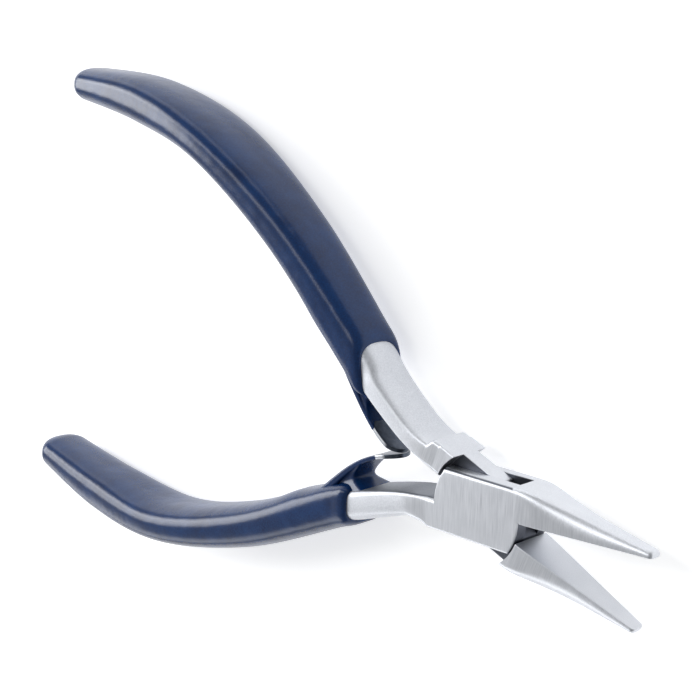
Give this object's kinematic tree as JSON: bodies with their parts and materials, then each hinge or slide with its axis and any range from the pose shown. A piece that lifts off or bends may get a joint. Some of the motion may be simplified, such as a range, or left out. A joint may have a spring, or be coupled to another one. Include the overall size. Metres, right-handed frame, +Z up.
{
  "type": "jewellery pliers",
  "caption": "Small box-joint jewellery pliers with flat-faced tapering half-round jaws, twin leaf springs that open the handles, and smooth dipped grips.",
  "frame": {"origin": "the pivot axis, at the flat underside of the joint", "axes": "+X from the pivot to the jaw tips along the line midway between the two halves at rest, +Z up the pivot pin, +Y towards the handle of the tongue half"},
  "size_m": [0.127, 0.0773, 0.0125],
  "materials": {
    "forged_steel": "satin, ground across the joint and blasted on the shanks",
    "pin_steel": "ground flush",
    "spring_steel": "rolled spring steel",
    "rivet_steel": "plain",
    "dipped_pvc": "smooth glossy dip"
  },
  "bodies": {
    "box_side": {"box_half": "forged_steel", "pivot_pin": "pin_steel", "box_grip": "dipped_pvc", "box_rivet": "rivet_steel"},
    "tongue_side": {"tongue_half": "forged_steel", "tongue_grip": "dipped_pvc", "tongue_rivet": "rivet_steel"},
    "box_leaf": {"box_spring": "spring_steel"},
    "tongue_leaf": {"tongue_spring": "spring_steel"}
  },
  "joints": [
    {"name": "pivot", "type": "hinge", "parent": "box_side", "child": "tongue_side", "pos_m": [0, 0, 0.00325], "axis": [0, 0, -1], "range_deg": [-21.7, 8], "stiffness_Nm_per_rad": 0.9},
    {"name": "box_leaf_flex", "type": "hinge", "parent": "box_side", "child": "box_leaf", "pos_m": [-0.0284, -0.0105, 0.00325], "axis": [0, 0, 1], "range_deg": [-14, 5.3], "deforming": ["box_spring"]},
    {"name": "tongue_leaf_flex", "type": "hinge", "parent": "tongue_side", "child": "tongue_leaf", "pos_m": [-0.0284, 0.0105, 0.00325], "axis": [0, 0, -1], "range_deg": [-11, 4.2], "deforming": ["tongue_spring"]}
  ],
  "couplings": [
    {"joint": "box_leaf_flex", "follows": "pivot", "ratio": 0.63},
    {"joint": "tongue_leaf_flex", "follows": "pivot", "ratio": 0.49}
  ]
}
